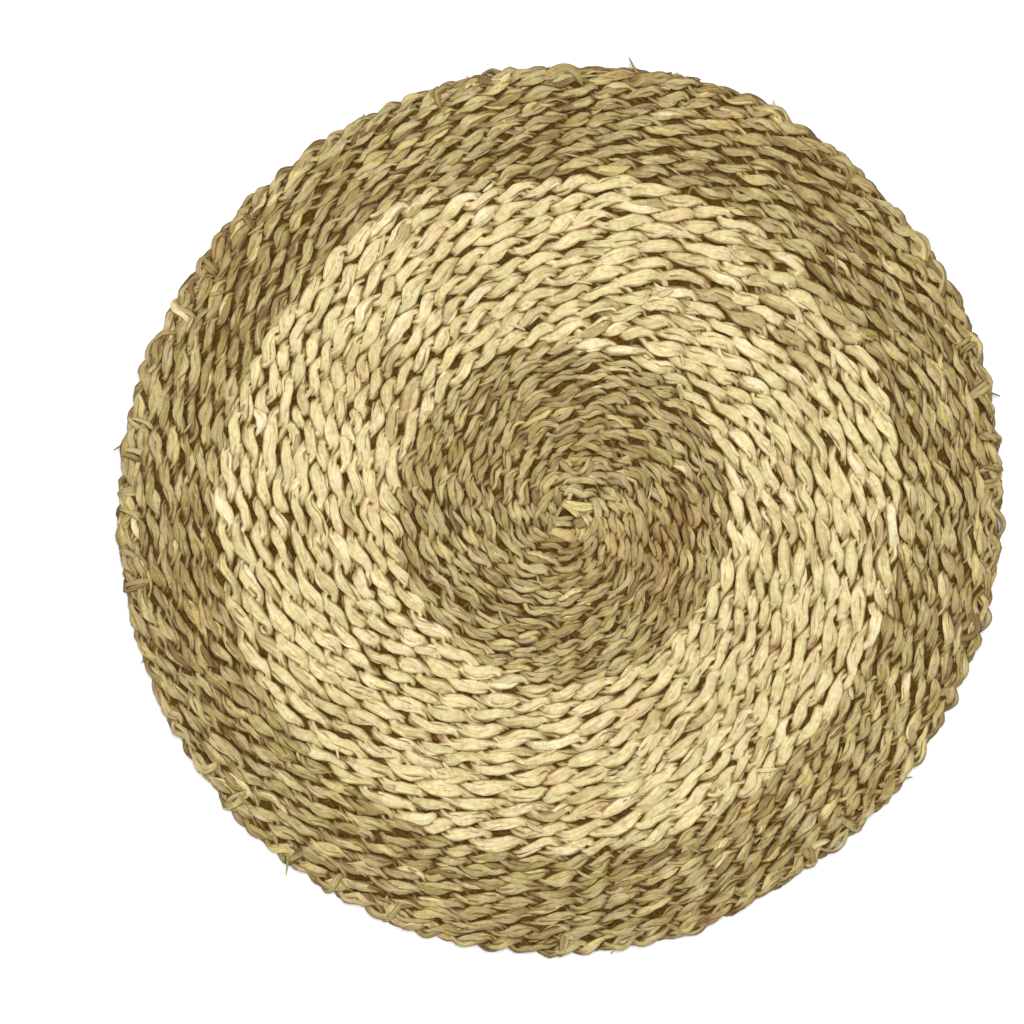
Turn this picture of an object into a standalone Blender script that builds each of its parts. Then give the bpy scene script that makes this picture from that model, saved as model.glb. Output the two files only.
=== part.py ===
"""Round placemat, twined from dried grass in one long spiral row, modelled as one solid.

The row is wound clockwise as seen from above, from a start a little off the mat's centre. It is
natural grass for the first turns, then pale grass, then natural grass again out to the rim. At the
rim the ends of the spokes are turned over the last row. The underside is flat.
"""

import math

import bmesh
import bpy

# Reach and heights of the mat, in metres
MAT_RADIUS = 0.190
CREST_HEIGHT = 0.0066
STITCH_DIP = 0.0011
VALLEY_HEIGHT = 0.0043
KNOT_HEIGHT = 0.0062

# The rows: how many turns each grass is wound for, and how wide its rows are
BANDS = (
    {"grass": "natural", "turns": 10.70, "pitch": 0.00670},
    {"grass": "pale", "turns": 9.92, "pitch": 0.00760},
    {"grass": "natural", "turns": 6.10, "pitch": 0.00600},
)

# The first row starts beside the mat's centre, at this angle from +X
START_OFFSET = (0.0051, -0.0043)
START_ANGLE = math.radians(162.0)

# The stitches: how many fit in a turn, up to a number of rows from the start
STITCHES = (
    {"rows": 3.0, "count": 12},
    {"rows": 8.0, "count": 24},
    {"rows": 27.0, "count": 48},
)
# Each stitch slants across its row, so the crest swings out and in by this share of the pitch
STITCH_SWING = 0.11

# How the outline departs from a circle: waves in a turn, height of a wave, angle of a crest
OUTLINE_WAVES = (
    {"count": 2, "height": 0.0030, "crest": math.radians(53.0)},
    {"count": 3, "height": 0.0009, "crest": math.radians(44.0)},
    {"count": 7, "height": 0.0004, "crest": math.radians(18.0)},
)

# The turned-over rim, as closed rings: how far each lies inside the outline, and how high
RIM_RINGS = (
    {"inset": 0.0036, "height": 0.0064},
    {"inset": 0.0006, "height": 0.0048},
    {"inset": 0.0000, "height": 0.0028},
    {"inset": 0.0021, "height": 0.0000},
)
RIM_SCALLOP = 0.0008

# Fineness of the mesh: steps in a turn, two for each stitch, and lines in a row, valley and crest
STEPS = 96
LINES_PER_ROW = 2

# A crest or a knot fades over this share of a row, where the row starts or runs out
FADE_TURNS = 0.5

MERGE_DISTANCE = 0.000002
SHARP_ANGLE = math.radians(40.0)

GRASS_LOOKS = {
    "natural": {"color": (0.37, 0.27, 0.125, 1.0), "roughness": 0.72},
    "pale": {"color": (0.77, 0.60, 0.31, 1.0), "roughness": 0.62},
}

ROW_TURNS = sum(band["turns"] for band in BANDS)
ROW_LINES = LINES_PER_ROW + math.ceil(LINES_PER_ROW * ROW_TURNS) + 1


def clear_scene():
    for obj in list(bpy.data.objects):
        bpy.data.objects.remove(obj, do_unlink=True)


def grass_material(grass):
    """A plain material in the colour of one kind of grass."""
    looks = GRASS_LOOKS[grass]
    material = bpy.data.materials.new(grass + " grass")
    material.use_nodes = True
    shader = material.node_tree.nodes["Principled BSDF"]
    shader.inputs["Base Color"].default_value = looks["color"]
    shader.inputs["Roughness"].default_value = looks["roughness"]
    shader.inputs["Metallic"].default_value = 0.0
    material.diffuse_color = looks["color"]
    return material


def radius_after(turns):
    """Distance from the start of the winding after a number of rows, counted outwards."""
    radius = 0.0
    for band in BANDS:
        wound = min(max(turns, 0.0), band["turns"])
        radius += wound * band["pitch"]
        turns -= wound
    return radius


def uneven(radius, angle):
    """The radius as it really lies: the outline's waves fade away towards the centre."""
    share = radius / MAT_RADIUS
    waves = sum(
        wave["height"] * math.cos(wave["count"] * (angle - wave["crest"])) for wave in OUTLINE_WAVES
    )
    return radius + share * waves


def place(radius, angle, height):
    """A point of the mat. Rows near the centre lie round the start, the rim round the middle."""
    share = radius / MAT_RADIUS
    reach = uneven(radius, angle)
    x = START_OFFSET[0] * (1.0 - share) + reach * math.cos(angle)
    y = START_OFFSET[1] * (1.0 - share) + reach * math.sin(angle)
    return x, y, height


def swell(turns, step):
    """How far a stitch stands up here, from 0 where two meet to 1 at the middle of one."""
    count = next(row["count"] for row in STITCHES if turns <= row["rows"])
    return 0.5 + 0.5 * math.cos(math.tau * count * step / STEPS)


def row_point(line, step):
    """A point on one of the spiral's lines. Lines before the start or past the end stop there."""
    turns = line / LINES_PER_ROW - 1.0 + step / STEPS
    turns = min(max(turns, 0.0), ROW_TURNS)
    height = VALLEY_HEIGHT
    swing = 0.0
    if line % LINES_PER_ROW:
        crest = CREST_HEIGHT - STITCH_DIP * (1.0 - swell(turns, step))
        fade = min(1.0, turns / FADE_TURNS, (ROW_TURNS - turns) / FADE_TURNS)
        height += (crest - VALLEY_HEIGHT) * fade
        swing = STITCH_SWING * (2.0 * swell(turns, step) - 1.0) * fade
    start = min(1.0, turns / FADE_TURNS)
    height = KNOT_HEIGHT + (height - KNOT_HEIGHT) * start
    angle = START_ANGLE - math.tau * step / STEPS
    return place(radius_after(turns + swing), angle, height)


def rim_point(ring, step):
    """A point on one of the rim's closed rings, scalloped by the turned-over spokes."""
    angle = START_ANGLE - math.tau * step / STEPS
    scallop = RIM_SCALLOP * (step % 2)
    return place(MAT_RADIUS - ring["inset"] - scallop, angle, ring["height"])


def grass_of_row(line, step):
    """The grass that a row is wound from at this step."""
    middle = line // LINES_PER_ROW - 0.5 + step / STEPS
    natural_end = BANDS[0]["turns"]
    pale_end = natural_end + BANDS[1]["turns"]
    return "pale" if natural_end <= middle < pale_end else "natural"


def wind_mat():
    """The mat's mesh: a flat grid wound into the spiral, its seam and ends merged, then closed."""
    bm = bmesh.new()
    lines = ROW_LINES + len(RIM_RINGS)
    bmesh.ops.create_grid(bm, x_segments=STEPS, y_segments=lines - 1, size=1.0)

    def step_of(point):
        return (point.x + 1.0) / 2.0 * STEPS

    def line_of(point):
        return (point.y + 1.0) / 2.0 * (lines - 1)

    for face in bm.faces:
        middle = face.calc_center_median()
        grass = grass_of_row(math.floor(line_of(middle)), step_of(middle))
        face.material_index = list(GRASS_LOOKS).index(grass)
        face.smooth = True
    for vert in bm.verts:
        step = round(step_of(vert.co))
        line = round(line_of(vert.co))
        if line < ROW_LINES:
            vert.co = row_point(line, step)
        else:
            vert.co = rim_point(RIM_RINGS[line - ROW_LINES], step)

    bmesh.ops.remove_doubles(bm, verts=bm.verts, dist=MERGE_DISTANCE)
    underside = [edge for edge in bm.edges if edge.is_boundary]
    bmesh.ops.contextual_create(bm, geom=underside)
    bmesh.ops.recalc_face_normals(bm, faces=bm.faces)
    return bm


def centre_on_origin(bm):
    """Puts the middle of the mat's own box over the origin."""
    for axis in (0, 1):
        low = min(vert.co[axis] for vert in bm.verts)
        high = max(vert.co[axis] for vert in bm.verts)
        for vert in bm.verts:
            vert.co[axis] -= (low + high) / 2.0


def build_mat():
    bm = wind_mat()
    centre_on_origin(bm)
    mesh = bpy.data.meshes.new("woven_mat")
    bm.to_mesh(mesh)
    bm.free()
    mesh.set_sharp_from_angle(angle=SHARP_ANGLE)
    for grass in GRASS_LOOKS:
        mesh.materials.append(grass_material(grass))
    return bpy.data.objects.new("woven_mat", mesh)


def main():
    clear_scene()
    collection = bpy.data.collections.new("round_placemat")
    bpy.context.scene.collection.children.link(collection)
    collection.objects.link(build_mat())


main()
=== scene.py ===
"""The looks of a round placemat, twined from dried grass in one long spiral row.

Two strands twist round radial spokes, half a turn for each spoke. The strands are bundles of thin
stalks in the natural rows and broad husks in the pale rows. At the rim the ends of the spokes are
bent over each other along the edge.
"""

import math
import random

import bmesh
import bpy
import numpy as np
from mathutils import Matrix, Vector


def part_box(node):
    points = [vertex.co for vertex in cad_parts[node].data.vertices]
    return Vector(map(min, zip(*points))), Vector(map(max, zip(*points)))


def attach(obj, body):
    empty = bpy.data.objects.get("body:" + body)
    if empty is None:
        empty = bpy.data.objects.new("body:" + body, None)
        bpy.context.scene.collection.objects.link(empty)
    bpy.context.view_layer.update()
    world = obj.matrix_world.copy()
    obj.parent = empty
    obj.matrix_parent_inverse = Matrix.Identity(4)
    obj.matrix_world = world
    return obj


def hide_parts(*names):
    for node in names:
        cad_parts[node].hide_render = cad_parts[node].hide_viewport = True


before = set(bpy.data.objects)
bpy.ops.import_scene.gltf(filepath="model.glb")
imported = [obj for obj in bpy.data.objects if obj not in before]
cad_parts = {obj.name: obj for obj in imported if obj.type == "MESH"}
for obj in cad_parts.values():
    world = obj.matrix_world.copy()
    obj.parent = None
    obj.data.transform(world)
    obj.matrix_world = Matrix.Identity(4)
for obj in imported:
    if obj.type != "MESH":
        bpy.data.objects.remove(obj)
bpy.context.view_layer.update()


def chart(columns, *rows):
    """Rows of values, each by the names of the columns."""
    return [dict(zip(columns.split(), row)) for row in rows]


BODY = "root"
NODE = "woven_mat"

# The mat's winding, as its solid has it, in metres
MAT_RADIUS = 0.190
MAT_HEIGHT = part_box(NODE)[1].z
BANDS = chart(
    "turns pitch",
    (10.70, 0.00670),
    (9.92, 0.00760),
    (6.10, 0.00600),
)
START_OFFSET = (0.0051, -0.0043)
START_ANGLE = math.radians(162.0)
OUTLINE_WAVES = chart(
    "count height crest",
    (2, 0.0030, math.radians(53.0)),
    (3, 0.0009, math.radians(44.0)),
    (7, 0.0004, math.radians(18.0)),
)
OUTLINE_SAMPLES = 720
ROW_TURNS = sum(band["turns"] for band in BANDS)
MIDDLE_HEIGHT = MAT_HEIGHT / 2.0

# How many spokes a circle of this radius crosses, and how far each leans clockwise for each row
SPOKES = chart(
    "radius count lean",
    (0.000, 6, 0.0),
    (0.015, 10, 0.0),
    (0.038, 21, 0.0),
    (0.055, 30, 0.0),
    (0.077, 37, 0.0008),
    (0.105, 48, 0.0022),
    (0.135, 56, 0.0022),
    (0.150, 66, 0.0008),
    (0.180, 72, 0.0008),
)
# Spokes start uneven, make room for new ones, and drift. They show from one row to short of the last,
# and the row crosses them early or late by a share of a gap.
SPOKE_SCATTER = 0.1
SPOKE_EVENING = 0.30
SPOKE_DRIFT = math.radians(0.9)
SPOKES_START = 2.0
SPOKES_STOP_SHORT = 0.2
SPOKE_DEPTH = 0.0006
# The spokes' tint is shifted darker as painted shade, for where they lie deep between the rows
SPOKE_SHADE_TONE = -0.6
CROSSING_JITTER = 0.21
EDGE_CROSSING_JITTER = 0.25

# How the rows stray from their even places: the height and number of slow waves and ripples, and
# how many crests each has in a turn
ROW_SWAY = 0.0007
ROW_SWAY_WAVES = 7
SWAY_COUNTS = (2, 11)
SWAY_DRIFT = 0.5
FULL_SWAY_RADIUS = 0.03
ROW_RIPPLE = 0.0003
RIPPLE_COUNTS = (14.0, 34.0)

# What goes into the stalk tree, for one plain flat stalk and for the natural and the pale rows.
# Whole numbers are counts, sizes are in metres.
STALK_SETTINGS = chart(
    "name flat natural pale",
    ("Strands", 1, 2, 2),
    ("Stalks", 1, 3, 2),
    ("Sides", 8, 8, 12),
    ("Swing Across", 0.0, 0.0023, 0.00255),
    ("Swing Up", 0.0, 0.0016, 0.0016),
    ("Pinch", 1.0, 0.62, 0.74),
    ("Lean", 0.0, 0.1, 0.1),
    ("Bundle Across", 0.0, 0.00120, 0.00095),
    ("Bundle Up", 0.0, 0.00060, 0.00045),
    ("Bundle Twist", 0.0, 38.0, 22.0),
    ("Stalk Width", 0.0026, 0.0034, 0.0046),
    ("Stalk Thickness", 0.0014, 0.0021, 0.0028),
    ("Girth Change", 0.25, 0.28, 0.22),
    ("Girth Run", 0.012, 0.010, 0.011),
    ("Lens Change", 0.0, 0.20, 0.15),
    ("Lens Shift", 0.0, 0.0006, 0.0006),
    ("Lens Tone", 0.5, 0.44, 0.40),
    ("Wander", 0.0003, 0.0008, 0.0008),
    ("Wander Run", 0.010, 0.008, 0.009),
    ("Roll", 1.0, 0.9, 0.7),
    ("Crease", 0.0001, 0.00016, 0.00022),
    ("Unevenness", 0.00015, 0.00045, 0.00055),
    ("Colour Run", 0.05, 0.030, 0.040),
)
FLAT_STALK = {row["name"]: row["flat"] for row in STALK_SETTINGS}
ROW_STYLES = {
    kind: {row["name"]: row[kind] for row in STALK_SETTINGS} for kind in ("natural", "pale")
}
ROW_STYLES["centre"] = {
    **ROW_STYLES["natural"], "Bundle Across": 0.00175, "Bundle Up": 0.00060, "Bundle Twist": 26.0,
    "Stalk Width": 0.0029, "Pinch": 0.72,
}
ROW_STYLES["edge"] = {
    **ROW_STYLES["natural"], "Swing Across": 0.0022, "Swing Up": 0.0014, "Stalk Width": 0.0030,
    "Lens Shift": 0.0010, "Wander": 0.0013,
}
# Where chance starts, in the layout and in the stalks of each kind
SEEDS = {"sway": 5, "spokes": 11, "crossings": 17, "rim": 23, "ends": 29, "edge": 37, "tone": 61}
STALK_SEEDS = {"spokes": 31.0, "arcs": 41.0, "straps": 47.0, "natural": 53.0, "pale": 59.0, "knot": 71.0}
# How far apart the chance values of one thread and the next lie
THREAD_SHIFT = 0.37
THREAD_STEPS = {"spokes": 3.1, "arcs": 2.3, "straps": 1.7, "knot": 4.7}

# The pieces that the row is made in, from one number of turns to the next, and how fine each is
ROW_PIECES = chart(
    "name grass style first last spacing seed",
    ("centre_rows", "natural", "centre", 0.35, 10.20, 0.0019, 3.0),
    ("pale_rows_inner", "pale", "pale", 10.20, 15.75, 0.0019, 8.0),
    ("pale_rows_outer", "pale", "pale", 15.75, 20.12, 0.0019, 8.0),
    ("outer_rows_inner", "natural", "natural", 20.12, 23.25, 0.0020, 3.0),
    ("outer_rows_outer", "natural", "natural", 23.25, 26.22, 0.0020, 3.0),
    ("edge_row", "natural", "edge", 26.22, 27.25, 0.0018, 5.0),
)
GUIDE_SAMPLES = 40000
JOIN_OVERLAP_TURNS = 0.02
EDGE_STITCHES = 90
EDGE_ROW_INSET = 0.0028
# The outer rows spread out past the last one's end: how far, over which rows, and where this starts,
# rises, stays and falls, as angles
EDGE_FILL = {
    "width": 0.0032, "first_row": 20.5, "rows": 5.5, "start": math.radians(117.0),
    "rise": math.radians(45.0), "stay": math.radians(60.0), "fall": math.radians(160.0),
}
# The row's girth: a steady part, a part by its pitch, and how it grows from the start and the end
ROW_GIRTH = {
    "pitch": 0.0067, "steady": 0.55, "by_pitch": 0.45, "least_pitch": 0.9, "most_pitch": 1.2,
    "start": 0.55, "start_growth": 2.0, "end": 0.35, "end_growth": 14.0,
}
# Where browner or brighter grass is mixed in: which rows, how far to each side of which angle, in
# degrees, and how much. Each stitch gets none, some or all of it.
GRASS_CHANGES = chart(
    "first last angle half tone",
    (14.5, 19.6, 46.0, 22.0, -0.60),
    (10.2, 12.4, 95.0, 30.0, -0.35),
    (20.1, 25.4, 137.0, 22.0, -0.22),
    (20.1, 26.4, 196.0, 20.0, -0.18),
    (20.1, 24.0, 221.0, 14.0, -0.16),
    (20.1, 23.4, 38.0, 16.0, -0.18),
    (21.0, 26.2, 322.0, 16.0, 0.22),
)
MIXED_IN = (-0.9, 1.6)

# Camera: straight above, the photo's frame in real size, and where the mat's middle falls in it
IMAGE_SIDE = 1024
METRES_PER_PIXEL = 0.0004281
MAT_MIDDLE_PIXEL = (560.0, 510.0)
LENS = 85.0
SENSOR = 36.0


# Winding of the mat


def radius_after(turns):
    """Distance from the start of the winding after these numbers of rows, counted outwards."""
    ends = np.cumsum([0.0] + [band["turns"] for band in BANDS])
    radii = np.cumsum([0.0] + [band["turns"] * band["pitch"] for band in BANDS])
    return np.interp(turns, ends, radii)


def uneven(radius, angle):
    """The radius as it really lies: the outline's waves fade away towards the centre."""
    waves = sum(
        wave["height"] * np.cos(wave["count"] * (angle - wave["crest"])) for wave in OUTLINE_WAVES
    )
    return radius + radius / MAT_RADIUS * waves


def place_uncentred(radius, angle):
    share = radius / MAT_RADIUS
    reach = uneven(radius, angle)
    x = START_OFFSET[0] * (1.0 - share) + reach * np.cos(angle)
    y = START_OFFSET[1] * (1.0 - share) + reach * np.sin(angle)
    return x, y


def middle_of_outline():
    angle = np.linspace(0.0, math.tau, OUTLINE_SAMPLES)
    x, y = place_uncentred(np.full(len(angle), MAT_RADIUS), angle)
    return (x.min() + x.max()) / 2.0, (y.min() + y.max()) / 2.0


MIDDLE = middle_of_outline()


def place(radius, angle, height):
    """Points of the mat at these radii, angles and heights, one to a row."""
    x, y = place_uncentred(np.asarray(radius, float), np.asarray(angle, float))
    return np.stack([x - MIDDLE[0], y - MIDDLE[1], np.broadcast_to(height, x.shape)], axis=1)


def sway(turns, angle, rng):
    """A slow wave in and out of the rows, much the same from one row to the next."""
    total = np.zeros(len(turns))
    for _ in range(ROW_SWAY_WAVES):
        count = rng.randint(*SWAY_COUNTS)
        drift = rng.uniform(-SWAY_DRIFT, SWAY_DRIFT)
        phase = rng.uniform(0.0, math.tau)
        total += np.sin(count * angle + drift * turns + phase)
    ripple = np.zeros(len(turns))
    for _ in range(ROW_SWAY_WAVES):
        ripple += np.sin(rng.uniform(*RIPPLE_COUNTS) * angle + rng.uniform(0.0, math.tau))
    return (ROW_SWAY * total + ROW_RIPPLE * ripple) / math.sqrt(ROW_SWAY_WAVES)


def edge_filling(angle):
    """Where the outer rows spread: most past the end of the last row, and less on round the mat."""
    past = np.mod(EDGE_FILL["start"] - angle, math.tau)
    rise = np.clip(past / EDGE_FILL["rise"], 0.0, 1.0)
    fall = np.clip((past - EDGE_FILL["stay"]) / EDGE_FILL["fall"], 0.0, 1.0)
    return rise**2 * (3.0 - 2.0 * rise) * (1.0 - fall)


def row_middle(turns):
    """Points along the middle of the row, these numbers of turns from its start."""
    angle = START_ANGLE - math.tau * turns
    radius = radius_after(turns + 0.5)
    radius = radius + np.maximum(turns + 0.5 - ROW_TURNS, 0.0) * BANDS[-1]["pitch"]
    outer = np.clip((turns - EDGE_FILL["first_row"]) / EDGE_FILL["rows"], 0.0, 1.0)
    radius = radius + EDGE_FILL["width"] * edge_filling(angle) * outer
    radius = np.minimum(radius, MAT_RADIUS - EDGE_ROW_INSET)
    swayed = sway(turns, angle, random.Random(SEEDS["sway"]))
    radius = radius + swayed * np.clip(radius / FULL_SWAY_RADIUS, 0.0, 1.0)
    return place(radius, angle, MIDDLE_HEIGHT)


# Spokes


def lay_spokes():
    """The spokes' angles at each row. New spokes go into the widest gaps, and the rest make room."""
    rng = random.Random(SEEDS["spokes"])
    first = SPOKES[0]["count"]
    spokes = []
    for k in range(first):
        angle = math.tau * (k + rng.uniform(-SPOKE_SCATTER, SPOKE_SCATTER)) / first
        spokes.append({"first_row": 0, "angles": [angle]})
    for row in range(1, math.ceil(ROW_TURNS) + 1):
        radius = float(radius_after(row + 0.5))
        radii = [spoke["radius"] for spoke in SPOKES]
        wanted = np.interp(radius, radii, [spoke["count"] for spoke in SPOKES])
        lean = np.interp(radius, radii, [spoke["lean"] for spoke in SPOKES]) / radius
        while len(spokes) < round(wanted):
            insert_spoke(spokes, row - 1)
        angles = [spoke["angles"][-1] for spoke in spokes]
        for k, spoke in enumerate(spokes):
            before = wrapped(angles[k - 1] - angles[k])
            after = wrapped(angles[(k + 1) % len(angles)] - angles[k])
            step = SPOKE_EVENING * (before + after) / 2.0
            drift = rng.uniform(-1.0, 1.0) * SPOKE_DRIFT
            spoke["angles"].append(angles[k] + step - lean + drift)
    return spokes


def wrapped(angle):
    return (angle + math.pi) % math.tau - math.pi


def insert_spoke(spokes, row):
    """Puts a new spoke, which starts at this row, into the middle of the widest gap."""
    angles = [spoke["angles"][-1] for spoke in spokes]
    gaps = [(angles[(k + 1) % len(angles)] - angles[k]) % math.tau for k in range(len(angles))]
    widest = gaps.index(max(gaps))
    angle = angles[widest] + gaps[widest] / 2.0
    spokes.insert(widest + 1, {"first_row": row, "angles": [angle]})


def crossings(spokes):
    """Where the row crosses a spoke, in turns from its start."""
    rng = random.Random(SEEDS["crossings"])
    turns = []
    for spoke in spokes:
        for row, angle in enumerate(spoke["angles"], spoke["first_row"]):
            turns.append(row + (START_ANGLE - angle) / math.tau % 1.0)
    turns = np.array(sorted(turns))
    gaps = np.diff(turns, append=turns[-1] + turns[-1] - turns[-2])
    jitter = np.array([rng.uniform(-CROSSING_JITTER, CROSSING_JITTER) for _ in turns])
    return np.sort(turns + jitter * gaps)


def added(name, data):
    """A new object with this mesh, light or camera, in the scene."""
    thing = bpy.data.objects.new(name, data)
    bpy.context.scene.collection.objects.link(thing)
    return thing


# Guide lines, which the stalks are laid along


def line(points, phase=math.pi / 2.0, girth=1.0, along=None, thread=0.0, outward=None, tone=0.0):
    """One guide line, with what the stalks along it need to know at each point."""
    points = np.asarray(points, float)
    steps = np.linalg.norm(np.diff(points, axis=0), axis=1)
    if along is None:
        along = np.concatenate([[0.0], np.cumsum(steps)]) + THREAD_SHIFT * thread
    if outward is None:
        tangent = np.gradient(points, axis=0)
        outward = np.stack([-tangent[:, 1], tangent[:, 0], np.zeros(len(points))], axis=1)
        outward /= np.maximum(np.linalg.norm(outward, axis=1, keepdims=True), 1e-9)
    count = len(points)
    return {
        "points": points,
        "phase": np.broadcast_to(phase, count),
        "girth": np.broadcast_to(girth, count),
        "along": along,
        "thread": np.full(count, float(thread)),
        "tone": np.broadcast_to(tone, count),
        "outward": outward,
    }


def guide_object(name, lines):
    """A mesh of open lines, with their facts as attributes."""
    points = np.concatenate([each["points"] for each in lines])
    edges = []
    start = 0
    for each in lines:
        count = len(each["points"])
        edges += [(start + k, start + k + 1) for k in range(count - 1)]
        start += count
    mesh = bpy.data.meshes.new(name)
    mesh.from_pydata(points.tolist(), edges, [])
    for fact in ("phase", "girth", "along", "thread", "tone"):
        attribute = mesh.attributes.new(fact, "FLOAT", "POINT")
        attribute.data.foreach_set("value", np.concatenate([each[fact] for each in lines]))
    attribute = mesh.attributes.new("outward", "FLOAT_VECTOR", "POINT")
    outward = np.concatenate([each["outward"] for each in lines])
    attribute.data.foreach_set("vector", outward.ravel())
    return added(name, mesh)


# Node trees


class Tree:
    """A node tree, with a short call for each kind of node that is used often."""

    def __init__(self, group):
        self.group = group

    def node(self, kind, sockets=None, **settings):
        node = self.group.nodes.new(kind)
        for setting, value in settings.items():
            setattr(node, setting, value)
        for key, value in (sockets or {}).items():
            self.plug(value, node.inputs[key])
        return node

    def first(self, kind, sockets=None, **settings):
        return self.node(kind, sockets, **settings).outputs[0]

    def plug(self, value, socket):
        if isinstance(value, bpy.types.NodeSocket):
            self.group.links.new(value, socket)
        else:
            socket.default_value = value

    def math(self, operation, *values):
        return self.first("ShaderNodeMath", dict(enumerate(values)), operation=operation)

    def times(self, first, second):
        return self.math("MULTIPLY", first, second)

    def times_plus(self, first, second, third):
        return self.math("MULTIPLY_ADD", first, second, third)

    def vector(self, operation, *values):
        node = self.node("ShaderNodeVectorMath", dict(enumerate(values)), operation=operation)
        return node.outputs["Vector"]

    def scaled(self, vector, factor):
        sockets = {"Vector": vector, "Scale": factor}
        return self.node("ShaderNodeVectorMath", sockets, operation="SCALE").outputs["Vector"]

    def combined(self, x, y, z):
        return self.first("ShaderNodeCombineXYZ", {"X": x, "Y": y, "Z": z})

    def noise(self, vector, scale=1.0, detail=0.0):
        sockets = {"Vector": vector, "Scale": scale, "Detail": detail}
        return self.first("ShaderNodeTexNoise", sockets)

    def mapped(self, value, low, high, new_low, new_high):
        sockets = {0: value, 1: low, 2: high, 3: new_low, 4: new_high}
        return self.first("ShaderNodeMapRange", sockets)


FLOOR_HEIGHT = 0.0003
TOP_HEIGHT = MAT_HEIGHT + 0.0006
PRESS_SOFTNESS = 0.0008

# A strand's way across its row is part straight and part round. It rises a little more sharply than
# round, and is slimmer away from its crest.
CROSSING_STRAIGHT = 0.45
CROSSING_ROUND = 0.55
RISE_POWER = 1.05
FULLNESS_POWER = 0.70
# How far the second strand's twist is ahead, and how much wandering and lens shifts go up and down
TWIST_AHEAD = 0.31
WANDER_UP_SHARE = 0.4
LENS_UP_SHARE = 0.7
# Shifts that keep the chance values of copies, and of their uses, apart
COPY_SHIFT = 11.37
RUN_SHIFTS = {"wander": 0.0, "wander up": 5.0, "colour": 9.0, "girth": 13.0, "roll": 21.0}
LENS_SHIFTS = {"girth": 1.7, "side": 4.3, "up": 6.1, "tone": 8.9}
NOISE_SPREAD = (0.25, 0.75, -1.0, 1.0)
TINT_SPREAD = (-1.0, 1.0, 0.16, 0.84)
# The fine unevenness: waves in a metre along a stalk, and across it
UNEVEN_ALONG = 190.0
UNEVEN_ACROSS = 2.1
# The section: the wave of its crease, and the power that flattens its faces
CREASE_WAVE = 5.0
FACE_POWER = 0.65


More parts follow.
